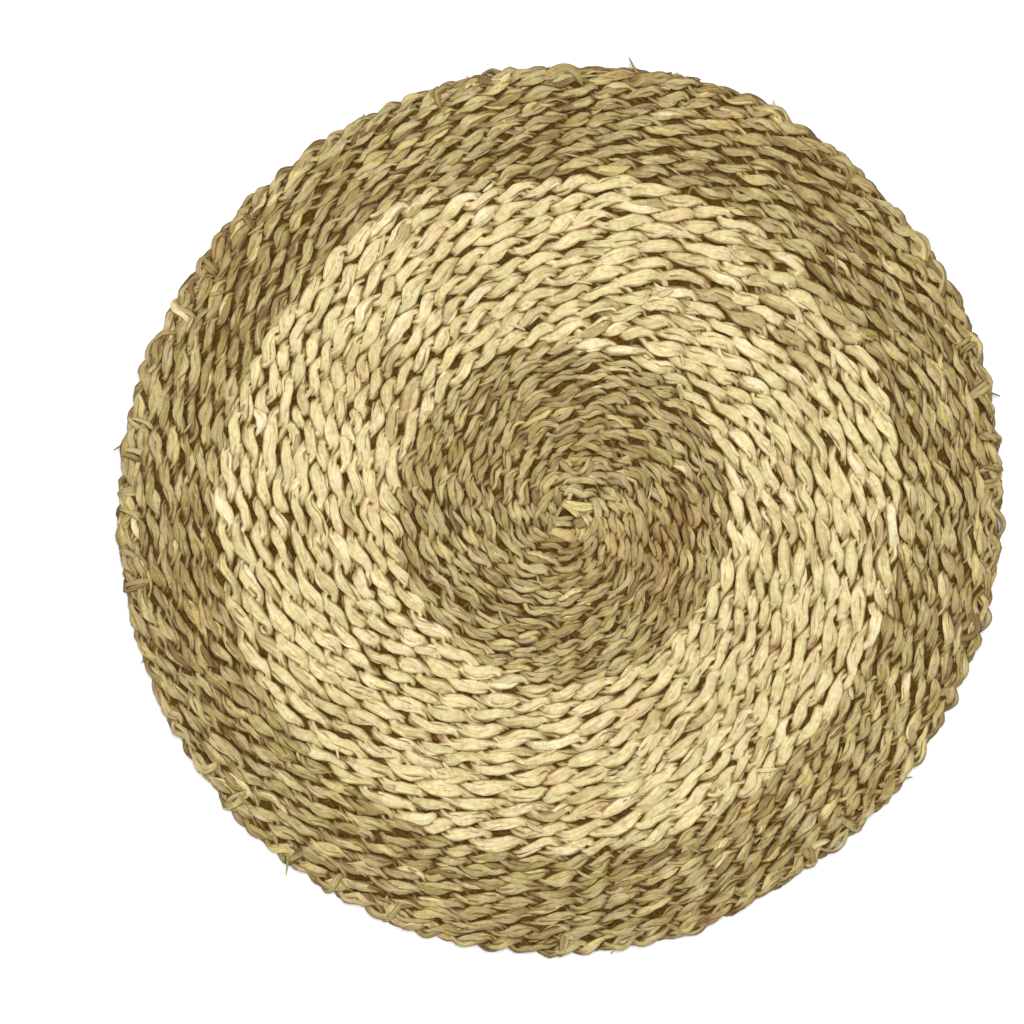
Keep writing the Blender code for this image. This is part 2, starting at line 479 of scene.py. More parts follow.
def stalk_tree():
    """Lays stalks along guide lines: strands twist round the line, stalks lie in each strand."""
    group = bpy.data.node_groups.new("stalks along lines", "GeometryNodeTree")
    sockets = group.interface
    sockets.new_socket("Geometry", in_out="INPUT", socket_type="NodeSocketGeometry")
    for name, value in {**FLAT_STALK, "Floor": FLOOR_HEIGHT, "Top": TOP_HEIGHT, "Seed": 0.0}.items():
        kind = "NodeSocketInt" if isinstance(value, int) else "NodeSocketFloat"
        sockets.new_socket(name, in_out="INPUT", socket_type=kind)
    sockets.new_socket("Material", in_out="INPUT", socket_type="NodeSocketMaterial")
    sockets.new_socket("Geometry", in_out="OUTPUT", socket_type="NodeSocketGeometry")
    tree = Tree(group)
    times, times_plus = tree.times, tree.times_plus
    given = tree.node("NodeGroupInput").outputs

    def fact(name, kind="FLOAT"):
        return tree.first("GeometryNodeInputNamedAttribute", {"Name": name}, data_type=kind)

    curve = tree.first("GeometryNodeMeshToCurve", {"Mesh": given["Geometry"]})
    total = times(given["Strands"], given["Stalks"])
    sockets = {"Geometry": curve, "Amount": total}
    copies = tree.node("GeometryNodeDuplicateElements", sockets, domain="SPLINE")
    index = copies.outputs["Duplicate Index"]
    strand = tree.math("MODULO", index, given["Strands"])
    stalk = tree.math("FLOOR", tree.math("DIVIDE", index, given["Strands"]))

    along = fact("along")
    identity = times_plus(index, COPY_SHIFT, tree.math("ADD", fact("thread"), given["Seed"]))

    def spread(run, shift):
        """A smooth chance value from about -1 to 1, which changes over this length."""
        place_in_run = tree.combined(tree.math("DIVIDE", along, run), identity, shift)
        return tree.mapped(tree.noise(place_in_run), *NOISE_SPREAD)

    turn = tree.math("DIVIDE", math.tau, given["Strands"])
    phase = times_plus(strand, turn, fact("phase"))
    sine, cosine = tree.math("SINE", phase), tree.math("COSINE", phase)
    outward = fact("outward", "FLOAT_VECTOR")
    up = (0.0, 0.0, 1.0)

    def mixed(out_share, up_share):
        return tree.vector("ADD", tree.scaled(outward, out_share), tree.scaled(up, up_share))

    lean = times(cosine, given["Lean"])
    away = mixed(lean, 1.0)
    sideways = mixed(1.0, times(lean, -1.0))
    crest = tree.math("ABSOLUTE", sine)
    rise = times(tree.math("SIGN", sine), tree.math("POWER", crest, RISE_POWER))
    straight = times(tree.math("ARCSINE", cosine), 2.0 / math.pi)
    rounded = times(cosine, CROSSING_ROUND)
    crossing = times_plus(straight, CROSSING_STRAIGHT, rounded)
    swing = mixed(times(crossing, given["Swing Across"]), times(rise, given["Swing Up"]))
    fullness = tree.math("POWER", crest, FULLNESS_POWER)
    fullness = tree.mapped(fullness, 0.0, 1.0, given["Pinch"], 1.0)
    lens = tree.math("FLOOR", tree.math("DIVIDE", phase, math.pi))

    def chance(shift):
        """A chance value from -1 to 1 for each lens, the stretch where a strand shows on one face."""
        spot = tree.combined(lens, tree.math("ADD", identity, shift), 0.0)
        noise = tree.node("ShaderNodeTexWhiteNoise", {"Vector": spot}, noise_dimensions="2D")
        return times_plus(noise.outputs["Value"], 2.0, -1.0)

    def at_crest(shift, most):
        """A chance value for each lens, up to this much at its crest and none at its ends."""
        return times(times(chance(shift), most), crest)

    lens_girth = at_crest(LENS_SHIFTS["girth"], given["Lens Change"])
    fullness = times(fullness, tree.math("ADD", lens_girth, 1.0))
    lens_shift = at_crest(LENS_SHIFTS["side"], given["Lens Shift"])
    share = tree.math("DIVIDE", math.tau, given["Stalks"])
    ahead = times(strand, TWIST_AHEAD)
    bundle_turn = times_plus(along, given["Bundle Twist"], ahead)
    bundle_turn = times_plus(stalk, share, times(bundle_turn, math.tau))
    side_shift = times(tree.math("COSINE", bundle_turn), given["Bundle Across"])
    wander = spread(given["Wander Run"], RUN_SHIFTS["wander"])
    side_shift = times_plus(wander, given["Wander"], side_shift)
    side_shift = times_plus(side_shift, fullness, lens_shift)
    away_shift = times(tree.math("SINE", bundle_turn), given["Bundle Up"])
    less_wander = times(given["Wander"], WANDER_UP_SHARE)
    wander = spread(given["Wander Run"], RUN_SHIFTS["wander up"])
    away_shift = times_plus(wander, less_wander, away_shift)
    lens_lift = at_crest(LENS_SHIFTS["up"], given["Lens Shift"])
    away_shift = times_plus(lens_lift, LENS_UP_SHARE, away_shift)
    offset = tree.vector("ADD", tree.scaled(sideways, side_shift), tree.scaled(away, away_shift))
    offset = tree.vector("ADD", swing, offset)

    tint = tree.mapped(spread(given["Colour Run"], RUN_SHIFTS["colour"]), *TINT_SPREAD)
    half_tone = times(given["Lens Tone"], 0.5)
    tint = times_plus(chance(LENS_SHIFTS["tone"]), half_tone, tint)
    tint = tree.math("ADD", tint, fact("tone"))
    girth = spread(given["Girth Run"], RUN_SHIFTS["girth"])
    girth = times_plus(girth, given["Girth Change"], 1.0)
    girth = times(times(girth, fullness), fact("girth"))
    strands = copies.outputs["Geometry"]
    facts = (("tint", tint), ("thickness", girth), ("identity", identity), ("beside", cosine))
    for name, value in facts:
        strands = stored(tree, strands, name, value)
    strands = stored(tree, strands, "away", tree.vector("NORMALIZE", away), "FLOAT_VECTOR")
    strands = tree.first("GeometryNodeSetPosition", {"Geometry": strands, "Offset": offset})
    sockets = {"Curve": strands, "Normal": fact("away", "FLOAT_VECTOR")}
    strands = tree.first("GeometryNodeSetCurveNormal", sockets, mode="FREE")
    roll = times(spread(given["Girth Run"], RUN_SHIFTS["roll"]), given["Roll"])
    strands = tree.first("GeometryNodeSetCurveTilt", {"Curve": strands, "Tilt": roll})

    profile = stalk_profile(tree, given)
    sockets = {"Curve": strands, "Profile Curve": profile, "Scale": fact("thickness"), "Fill Caps": True}
    swept = tree.first("GeometryNodeCurveToMesh", sockets)
    across = times(fact("across"), UNEVEN_ACROSS)
    ripple = tree.combined(times(along, UNEVEN_ALONG), across, fact("identity"))
    ripple = tree.mapped(tree.noise(ripple, detail=1.0), *NOISE_SPREAD)
    normal = tree.first("GeometryNodeInputNormal")
    ripple = tree.scaled(normal, times(ripple, given["Unevenness"]))
    swept = tree.first("GeometryNodeSetPosition", {"Geometry": swept, "Offset": ripple})
    swept = pressed_flat(tree, swept, given)
    swept = tree.first("GeometryNodeSetShadeSmooth", {"Geometry": swept})
    swept = tree.first("GeometryNodeRealizeInstances", {"Geometry": swept})
    sockets = {"Geometry": swept, "Material": given["Material"]}
    swept = tree.first("GeometryNodeSetMaterial", sockets)
    tree.node("NodeGroupOutput", {"Geometry": swept})
    return group


def stored(tree, geometry, name, value, kind="FLOAT"):
    """Keeps a value at each point of the geometry under a name."""
    sockets = {"Geometry": geometry, "Name": name, "Value": value}
    return tree.first("GeometryNodeStoreNamedAttribute", sockets, data_type=kind, domain="POINT")


def stalk_profile(tree, given):
    """A stalk's section: flat oval, with a shallow crease along the middle of each face."""
    circle = tree.node("GeometryNodeCurvePrimitiveCircle", {"Resolution": given["Sides"], "Radius": 1.0})
    place_round = tree.first("GeometryNodeInputPosition")
    parts = tree.node("ShaderNodeSeparateXYZ", {0: place_round}).outputs
    circle = stored(tree, circle.outputs["Curve"], "across", parts["Y"])
    half_thickness = tree.times(given["Stalk Thickness"], 0.5)
    half_width = tree.times(given["Stalk Width"], 0.5)
    fold = tree.math("COSINE", tree.times(parts["Y"], CREASE_WAVE))
    fold = tree.times(fold, given["Crease"])
    side = tree.math("SIGN", parts["X"])
    flatter = tree.math("POWER", tree.math("ABSOLUTE", parts["X"]), FACE_POWER)
    thick = tree.times(tree.times(flatter, side), half_thickness)
    thick = tree.math("SUBTRACT", thick, tree.times(fold, side))
    shape = tree.combined(thick, tree.times(parts["Y"], half_width), 0.0)
    return tree.first("GeometryNodeSetPosition", {"Geometry": circle, "Position": shape})


def pressed_flat(tree, geometry, given):
    """Keeps the stalks between the table and the mat's top, with soft flats where they touch."""
    spot = tree.first("GeometryNodeInputPosition")
    parts = tree.node("ShaderNodeSeparateXYZ", {0: spot}).outputs
    height = tree.math("SMOOTH_MIN", parts["Z"], given["Top"], PRESS_SOFTNESS)
    height = tree.math("SMOOTH_MAX", height, given["Floor"], PRESS_SOFTNESS)
    height = tree.math("MAXIMUM", height, given["Floor"])
    spot = tree.combined(parts["X"], parts["Y"], height)
    return tree.first("GeometryNodeSetPosition", {"Geometry": geometry, "Position": spot})


def grown(name, lines, tree, style, material, seed, top=TOP_HEIGHT):
    """The plain mesh of the stalks along these lines."""
    guide = guide_object(name + "_guide", lines)
    values = {**style, "Seed": seed, "Material": material, "Floor": FLOOR_HEIGHT, "Top": top}
    modifier = guide.modifiers.new("stalks", "NODES")
    modifier.node_group = tree
    for item in tree.interface.items_tree:
        if item.in_out == "INPUT" and item.name in values:
            modifier[item.identifier] = values[item.name]
    graph = bpy.context.evaluated_depsgraph_get()
    mesh = bpy.data.meshes.new_from_object(guide.evaluated_get(graph))
    guide.modifiers.remove(modifier)
    guide_mesh = guide.data
    bpy.data.objects.remove(guide, do_unlink=True)
    bpy.data.meshes.remove(guide_mesh)
    mesh.name = name
    return added(name, mesh)


# Materials


def shade(red, green, blue):
    """A colour given as it looks on a screen, 0 to 255, in the numbers that a shader takes."""
    parts = []
    for part in (red, green, blue):
        part /= 255.0
        parts.append(part / 12.92 if part <= 0.04045 else ((part + 0.055) / 1.055) ** 2.4)
    return (*parts, 1.0)


NATURAL_TINTS = chart(
    "at red green blue",
    (0.00, 134, 108, 64),
    (0.14, 160, 136, 92),
    (0.28, 170, 154, 84),
    (0.42, 186, 163, 127),
    (0.56, 191, 179, 112),
    (0.70, 204, 182, 144),
    (0.85, 212, 194, 118),
    (1.00, 234, 216, 170),
)
PALE_TINTS = chart(
    "at red green blue",
    (0.00, 186, 166, 114),
    (0.16, 213, 190, 141),
    (0.34, 217, 206, 152),
    (0.52, 234, 216, 162),
    (0.68, 229, 206, 162),
    (0.84, 238, 224, 173),
    (1.00, 241, 228, 191),
)
# The dark layer inside the weave: crushed fibre, darkened as painted shade for the gaps between the
# strands
PITH_AND_SHADE_TINTS = chart(
    "at red green blue",
    (0.30, 52, 33, 6),
    (0.70, 96, 70, 22),
)
MOTTLE_COLOUR = shade(216, 208, 168)
SPECK_COLOUR = shade(140, 100, 60)
# Painted shade deep in the weave: grass near the mat's middle height is darkened towards this
# colour, which stands in for the shade between the strands. How far from its middle it reaches, how
# near the rim it lessens and how much of it is left there
WEAVE_SHADE_COLOUR = shade(140, 114, 50)
SHADE_DEPTH_HEIGHTS = (0.0002, 0.0014)
RIM_WIDTH = 0.008
RIM_SHADE_SHARE = 0.6
# Streaks along a stalk: how long, how many across it, and a shift that keeps them apart
STREAKS = {
    "broad": {"length": 0.016, "count": 1.6, "shift": 0.0, "detail": 2.0},
    "fine": {"length": 0.009, "count": 6.0, "shift": 40.0, "detail": 2.0},
    "groove": {"length": 0.020, "count": 3.0, "shift": 80.0, "detail": 2.0},
    "fold": {"length": 0.022, "count": 1.5, "shift": 120.0, "detail": 1.0},
}
# The folds carry painted shade: thin dark lines along them, this wide in the fold pattern's values
FOLD_WIDTH = 0.020
GROOVE_SHARE = 0.6
# Between which values a pattern counts, and what it gives at the one and at the other
SPREADS = {
    "tint": (0.3, 0.7, -0.16, 0.16),
    "stain": (0.48, 0.74, 0.0, 0.65),
    # The next two are painted shade: a strand is darker on the side that meets the other strand where
    # they cross, and along each stalk's margins
    "seam": (0.35, 0.92, 1.0, 0.10),
    "margin_shade": (0.76, 1.0, 1.0, 0.20),
    "streak": (0.33, 0.62, 0.78, 1.05),
    "mottle": (0.46, 0.66, 0.0, 0.60),
    "speck": (0.70, 0.78, 0.0, 0.45),
    "grass roughness": (0.3, 0.7, 0.10, -0.12),
    "pith roughness": (0.3, 0.7, 0.95, 0.8),
    "paper roughness": (0.3, 0.7, 0.85, 0.95),
}


def new_material(name):
    """A material, with its node tree and its shader."""
    material = bpy.data.materials.new(name)
    material.use_nodes = True
    return material, Tree(material.node_tree), material.node_tree.nodes["Principled BSDF"]


def grass_material(name, tints, roughness, stain, crease_shade):
    """Dried grass: a tint for each stalk, streaks along it, stains across the mat, fine grooves, and
    painted shade along folds, where strands cross, at stalk margins and deep in the weave.
    """
    material, tree, shader = new_material(name)

    def fact(label):
        return tree.node("ShaderNodeAttribute", attribute_name=label).outputs["Fac"]

    along, across, identity = fact("along"), fact("across"), fact("identity")

    def streaks(kind):
        run = STREAKS[kind]
        vector = tree.combined(
            tree.math("DIVIDE", along, run["length"]),
            tree.times(across, run["count"]),
            tree.math("ADD", identity, run["shift"]),
        )
        return tree.noise(vector, detail=run["detail"])

    fine = streaks("fine")
    tint = tree.math("ADD", fact("tint"), tree.mapped(streaks("broad"), *SPREADS["tint"]))
    ramp = tree.node("ShaderNodeValToRGB", {"Fac": tint})
    fill_ramp(ramp.color_ramp, tints)
    spot = tree.node("ShaderNodeTexCoord").outputs["Object"]
    cloud = tree.noise(spot, scale=30.0, detail=3.0)
    colour = multiplied(tree, tree.mapped(cloud, *SPREADS["stain"]), ramp.outputs[0], stain)
    dark = tree.mapped(fine, *SPREADS["streak"])
    colour = multiplied(tree, 1.0, colour, tree.combined(dark, dark, dark))
    mottle = tree.noise(spot, scale=420.0, detail=4.0)
    colour = multiplied(tree, tree.mapped(mottle, *SPREADS["mottle"]), colour, MOTTLE_COLOUR)
    speck = tree.noise(spot, scale=620.0, detail=1.0)
    colour = multiplied(tree, tree.mapped(speck, *SPREADS["speck"]), colour, SPECK_COLOUR)
    # Painted shade, mixed in with the weave's shade colour: thin dark lines along folds, the side of a
    # strand that meets the other strand where they cross, each stalk's margins, and all grass deep in
    # the weave
    fold = tree.math("ABSOLUTE", tree.math("SUBTRACT", streaks("fold"), 0.5))
    fold = tree.mapped(fold, 0.0, FOLD_WIDTH, crease_shade, 1.0)
    beside = tree.times(tree.times(across, fact("beside")), -1.0)
    seam = tree.mapped(beside, *SPREADS["seam"])
    margin_shade = tree.mapped(tree.math("ABSOLUTE", across), *SPREADS["margin_shade"])
    light = tree.times(tree.times(fold, seam), margin_shade)
    shaded = tree.math("SUBTRACT", 1.0, tree.times(light, depth_inside(tree, spot)))
    colour = multiplied(tree, shaded, colour, WEAVE_SHADE_COLOUR)
    tree.plug(colour, shader.inputs["Base Color"])
    dullness = tree.math("ADD", tree.mapped(fine, *SPREADS["grass roughness"]), roughness)
    tree.plug(dullness, shader.inputs["Roughness"])
    shader.inputs["Specular IOR Level"].default_value = 0.35
    relief = tree.times_plus(streaks("groove"), GROOVE_SHARE, fine)
    bump = tree.node("ShaderNodeBump", {"Strength": 0.75, "Distance": 0.0005, "Height": relief})
    tree.plug(bump.outputs[0], shader.inputs["Normal"])
    return material


def depth_inside(tree, spot):
    """How near a point is to either face of the mat: 1 at a face, 0 half way between them. It sets how
    much painted shade the grass gets deep in the weave; near the rim it stays higher, for less shade.
    """
    parts = tree.node("ShaderNodeSeparateXYZ", {0: spot}).outputs
    above = tree.math("ABSOLUTE", tree.math("SUBTRACT", parts["Z"], MIDDLE_HEIGHT))
    depth = tree.mapped(above, *SHADE_DEPTH_HEIGHTS, 1.0, 0.0)
    flat = tree.combined(parts["X"], parts["Y"], 0.0)
    reach = tree.node("ShaderNodeVectorMath", {0: flat}, operation="LENGTH").outputs["Value"]
    depth = tree.times(depth, tree.mapped(reach, MAT_RADIUS - RIM_WIDTH, MAT_RADIUS, 1.0, RIM_SHADE_SHARE))
    return tree.math("SUBTRACT", 1.0, depth)


def multiplied(tree, factor, first, second):
    """The first colour, multiplied by this share of the second."""
    node = tree.node("ShaderNodeMix", data_type="RGBA", blend_type="MULTIPLY")
    for socket, value in ((node.inputs[0], factor), (node.inputs[6], first), (node.inputs[7], second)):
        tree.plug(value, socket)
    return node.outputs[2]


def fill_ramp(ramp, tints):
    while len(ramp.elements) < len(tints):
        ramp.elements.new(0.5)
    for element, tint in zip(ramp.elements, tints):
        element.position = tint["at"]
        element.color = shade(tint["red"], tint["green"], tint["blue"])


def pith_and_shade_material():
    """Dark and dull, seen only in the gaps: crushed inner fibres, and painted shade that stands in for
    the shadow down in the gaps.
    """
    material, tree, shader = new_material("crushed pith and painted shade")
    spot = tree.node("ShaderNodeTexCoord").outputs["Object"]
    grain = tree.noise(spot, scale=700.0, detail=3.0)
    ramp = tree.node("ShaderNodeValToRGB", {"Fac": grain})
    fill_ramp(ramp.color_ramp, PITH_AND_SHADE_TINTS)
    tree.plug(ramp.outputs[0], shader.inputs["Base Color"])
    tree.plug(tree.mapped(grain, *SPREADS["pith roughness"]), shader.inputs["Roughness"])
    shader.inputs["Specular IOR Level"].default_value = 0.1
    bump = tree.node("ShaderNodeBump", {"Strength": 0.8, "Distance": 0.0006, "Height": grain})
    tree.plug(bump.outputs[0], shader.inputs["Normal"])
    return material


# Pieces


def row_guide(first, last, spacing, crossing_turns):
    """The guide line of part of the row, its points an even distance apart."""
    fine = np.linspace(0.0, ROW_PIECES[-1]["last"], GUIDE_SAMPLES)
    steps = np.linalg.norm(np.diff(row_middle(fine), axis=0), axis=1)
    length = np.concatenate([[0.0], np.cumsum(steps)])
    ends = np.interp([first, last], fine, length)
    count = round((ends[1] - ends[0]) / spacing)
    along = np.linspace(ends[0], ends[1], count)
    turns = np.interp(along, length, fine)
    points = row_middle(turns)
    tangent = np.gradient(points, axis=0)
    outward = np.stack([-tangent[:, 1], tangent[:, 0], np.zeros(count)], axis=1)
    outward /= np.linalg.norm(outward, axis=1, keepdims=True)
    stitches = np.interp(turns, crossing_turns, np.arange(len(crossing_turns)))
    phase = math.pi / 2.0 - math.pi * stitches
    return line(
        points, phase=phase, girth=row_girth(turns), along=along, outward=outward,
        tone=row_tone(stitches, crossing_turns),
    )


def row_tone(stitches, crossing_turns):
    """How much browner or brighter the grass is at each point: the same all over one stitch."""
    rng = random.Random(SEEDS["tone"])
    mixed_in = np.array([np.clip(rng.uniform(*MIXED_IN), 0.0, 1.0) for _ in crossing_turns])
    nearest = np.round(stitches).astype(int)
    turns = np.asarray(crossing_turns)[nearest]
    angle = START_ANGLE - math.tau * turns
    total = np.zeros(len(turns))
    for change in GRASS_CHANGES:
        away = np.abs(wrapped(angle - math.radians(change["angle"])))
        rows = (turns > change["first"]) & (turns < change["last"])
        fade = np.clip(2.0 - 2.0 * away / math.radians(change["half"]), 0.0, 1.0)
        total += change["tone"] * rows * fade
    return total * mixed_in[nearest]


def row_girth(turns):
    """Thin where the row starts and runs out, and as wide as the row's pitch elsewhere."""
    shape = ROW_GIRTH
    start = np.clip(shape["start"] + turns * shape["start_growth"], shape["start"], 1.0)
    end = np.clip((ROW_PIECES[-1]["last"] - turns) * shape["end_growth"], shape["end"], 1.0)
    pitch = (radius_after(turns + 1.0) - radius_after(turns)) / shape["pitch"]
    pitch = np.clip(pitch, shape["least_pitch"], shape["most_pitch"])
    return start * end * (shape["steady"] + shape["by_pitch"] * pitch)


def edge_crossings():
    """Where the row crosses the spokes' bent ends at the rim, closer together than further in."""
    rng = random.Random(SEEDS["edge"])
    part = ROW_PIECES[-1]
    count = round((part["last"] - part["first"]) * EDGE_STITCHES) + 2
    places = [k + rng.uniform(-EDGE_CROSSING_JITTER, EDGE_CROSSING_JITTER) for k in range(count)]
    return part["first"] + np.array(places) / EDGE_STITCHES


def build_rows(tree, materials, spokes):
    pieces = []
    for part in ROW_PIECES:
        grass = part["grass"]
        last = min(part["last"] + JOIN_OVERLAP_TURNS, ROW_PIECES[-1]["last"])
        crossing_turns = edge_crossings() if part["style"] == "edge" else crossings(spokes)
        guide = row_guide(part["first"], last, part["spacing"], crossing_turns)
        style = ROW_STYLES[part["style"]]
        piece = grown(part["name"], [guide], tree, style, materials[grass], part["seed"])
        pieces.append(piece)
    return pieces


def build_spokes(tree, materials, spokes):
    lines = []
    for k, spoke in enumerate(spokes):
        rows = np.arange(spoke["first_row"], spoke["first_row"] + len(spoke["angles"]), 0.5)
        rows = rows[(rows >= SPOKES_START) & (rows <= ROW_TURNS - SPOKES_STOP_SHORT)]
        angle = np.interp(rows, np.arange(len(spoke["angles"])) + spoke["first_row"], spoke["angles"])
        points = place(radius_after(rows + 0.5), angle, MIDDLE_HEIGHT - SPOKE_DEPTH)
        # The spokes get a darker tint as painted shade
        lines.append(line(points, thread=k * THREAD_STEPS["spokes"], tone=SPOKE_SHADE_TONE))
    style = {**FLAT_STALK, "Stalk Width": 0.0032, "Stalk Thickness": 0.0015}
    piece = grown("spokes", lines, tree, style, materials["natural"], STALK_SEEDS["spokes"])
    return piece


# The turned-over ends: some lie along the edge, others are strapped over it
RIM_STITCHES = 112
RIM_SCATTER = (-0.45, 0.45)
ARC_SHARE = 0.18
STRAP_SHARE = 0.14
# More are strapped near this angle, while the cosine of the angle from it is above a limit
STRAPPED_ANGLE = math.radians(168.0)
STRAPPED_COSINE = 0.90
STRAPPED_SHARE = 0.70
ARC_STEPS = 15
ARC_COURSE = chart(
    "share inset height",
    (-0.90, 0.0075, 0.0028),
    (-0.55, 0.0044, 0.0040),
    (-0.15, 0.0020, 0.0042),
    (0.20, 0.0009, 0.0040),
    (0.55, 0.0018, 0.0048),
    (0.90, 0.0042, 0.0052),
    (1.20, 0.0080, 0.0040),
)
ARC_CHANCES = {
    "reach": (0.75, 1.25), "inset": (0.8, 1.15), "inset_shift": (-0.0008, 0.0012),
    "lift": (-0.0004, 0.0004), "girth": (0.75, 1.15), "tone": (-0.6, -0.1),
}
ARC_TAPER = {"steps": 3.0, "least": 0.3}
STRAP_STEPS = 17
STRAP_COURSE = chart(
    "inset height",
    (0.0100, 0.0036),
    (0.0084, 0.0055),
    (0.0060, 0.0063),
    (0.0030, 0.0061),
    (0.0010, 0.0050),
    (0.0002, 0.0030),
    (0.0012, 0.0014),
    (0.0060, 0.0010),
)
STRAP_CHANCES = {
    "inset": (0.75, 1.1), "lean": (0.001, 0.016), "bend": (-0.006, 0.006), "girth": (0.7, 1.35),
    "tone": (-0.35, 0.2),
}
STRAP_TAPER = {"steps": 2.0, "least": 0.4}


def build_rim(tree, materials):
    """The ends of the spokes, bent along the edge and strapped over it, none quite like another."""
    rng = random.Random(SEEDS["rim"])
    gap = math.tau / RIM_STITCHES
    arcs = []
    straps = []
    for k in range(RIM_STITCHES):
        if rng.random() < ARC_SHARE:
            arcs.append(rim_arc((k + rng.uniform(*RIM_SCATTER)) * gap, gap, rng, k))
        strapped = math.cos(k * gap - STRAPPED_ANGLE) > STRAPPED_COSINE
        if rng.random() < (STRAPPED_SHARE if strapped else STRAP_SHARE):
            straps.append(rim_strap((k + rng.uniform(*RIM_SCATTER)) * gap, rng, k))
    pair = {**FLAT_STALK, "Stalks": 2, "Crease": 0.0002, "Unevenness": 0.0004}
    style = {
        **pair, "Bundle Across": 0.0010, "Bundle Up": 0.0005, "Bundle Twist": 24.0, "Wander": 0.0009,
        "Stalk Width": 0.0030, "Stalk Thickness": 0.0021, "Girth Change": 0.35,
    }
    edge = grown("rim_arcs", arcs, tree, style, materials["natural"], STALK_SEEDS["arcs"])
    style = {
        **pair, "Bundle Across": 0.0011, "Bundle Up": 0.0003, "Bundle Twist": 16.0, "Wander": 0.0010,
        "Stalk Width": 0.0023, "Stalk Thickness": 0.0015, "Roll": 0.8,
    }
    over = grown("rim_straps", straps, tree, style, materials["natural"], STALK_SEEDS["straps"])
    return [edge, over]


def eased(course, key, count):
    """A course's value at even steps, rounded off between its points."""
    values = np.array([point[key] for point in course])
    places = np.linspace(0.0, len(values) - 1.0, count)
    fine = np.interp(places, np.arange(len(values)), values)
    for _ in range(2):
        fine[1:-1] = (fine[:-2] + 2.0 * fine[1:-1] + fine[2:]) / 4.0
    return fine


def tapered(count, steps, least):
    """A girth that grows from each end of a line over these steps."""
    from_end = np.minimum(np.arange(count), np.arange(count)[::-1])
    return np.clip(from_end / steps + least, least, 1.0)


def rim_arc(angle, gap, rng, number):
    chances = ARC_CHANCES
    share = eased(ARC_COURSE, "share", ARC_STEPS) * rng.uniform(*chances["reach"])
    inset = eased(ARC_COURSE, "inset", ARC_STEPS) * rng.uniform(*chances["inset"])
    inset = inset + rng.uniform(*chances["inset_shift"])
    height = eased(ARC_COURSE, "height", ARC_STEPS) + rng.uniform(*chances["lift"])
    points = place(MAT_RADIUS - inset, angle - gap * share, height)
    girth = tapered(ARC_STEPS, **ARC_TAPER) * rng.uniform(*chances["girth"])
    tone = rng.uniform(*chances["tone"])
    return line(points, girth=girth, thread=number * THREAD_STEPS["arcs"], tone=tone)


def rim_strap(angle, rng, number):
    chances = STRAP_CHANCES
    inset = eased(STRAP_COURSE, "inset", STRAP_STEPS)
    inset[: STRAP_STEPS // 2] *= rng.uniform(*chances["inset"])
    height = eased(STRAP_COURSE, "height", STRAP_STEPS)
    lean = rng.choice((-1.0, 1.0)) * rng.uniform(*chances["lean"])
    bend = rng.uniform(*chances["bend"])
    share = np.linspace(-1.0, 1.0, STRAP_STEPS)
    points = place(MAT_RADIUS - inset, angle + lean * share + bend * share**2, height)
    girth = tapered(STRAP_STEPS, **STRAP_TAPER) * rng.uniform(*chances["girth"])
    tone = rng.uniform(*chances["tone"])
    return line(points, girth=girth, thread=number * THREAD_STEPS["straps"], tone=tone)


# The knot that the winding starts from, and other blades that lie out of line near it. Places are
# in metres from the mat's middle, headings in degrees from +X. The first ones are on the underside
# too.
KNOT_BLADES = chart(
    "x y heading length width bend tone",
    (0.0081, 0.0026, 174, 0.0150, 1.35, 0.0010, 0.55),
    (0.0045, -0.0004, 146, 0.0105, 0.95, -0.0006, 0.55),
    (-0.0006, -0.0012, 62, 0.0084, 0.95, 0.0005, -0.1),
    (0.0017, -0.0043, 6, 0.0090, 0.95, 0.0004, 0.05),
    (0.0012, -0.0066, 2, 0.0088, 0.95, 0.0006, 0.15),
    (0.0003, -0.0110, -14, 0.0130, 1.60, 0.0012, 0.10),
    (0.0086, -0.0058, 22, 0.0060, 1.40, 0.0, -0.30),
    (0.0112, -0.0098, 58, 0.0090, 1.05, -0.0008, 0.0),
    (0.0141, -0.0070, 68, 0.0100, 1.05, -0.0010, -0.05),
    (0.0152, 0.0002, 104, 0.0100, 1.10, -0.0010, 0.10),
    (0.0056, 0.0074, -22, 0.0120, 1.25, 0.0010, 0.30),
    (-0.0052, 0.0034, 58, 0.0130, 1.30, 0.0012, 0.0),
    (-0.0071, -0.0004, 57, 0.0150, 0.80, 0.0014, 0.50),
    (-0.0046, -0.0062, 84, 0.0090, 1.00, -0.0006, -0.15),
    (0.0090, 0.0124, -3, 0.0154, 1.35, 0.0002, 0.15),
    (0.0040, 0.0184, -41, 0.0096, 1.20, -0.0010, 0.05),
    (0.0102, 0.0190, 58, 0.0092, 0.75, -0.0010, 0.40),
    (0.0124, 0.0178, 64, 0.0096, 0.75, -0.0006, 0.20),
    (0.0070, 0.0222, 8, 0.0058, 0.65, 0.0, 0.20),
    (0.0073, 0.0200, 10, 0.0054, 0.65, 0.0, 0.0),
    (0.0128, 0.0268, -20, 0.0114, 1.05, 0.0008, 0.60),
    (0.0334, -0.0052, -76, 0.0146, 1.60, 0.0010, 0.55),
)
BLADES_BELOW = 9
KNOT_STEPS = 11
KNOT_DEPTH = 0.0007
KNOT_END_DROP = 0.0026
KNOT_END_TAPER = 0.45
KNOT_TONE = {"share": 0.6, "shift": -0.1}


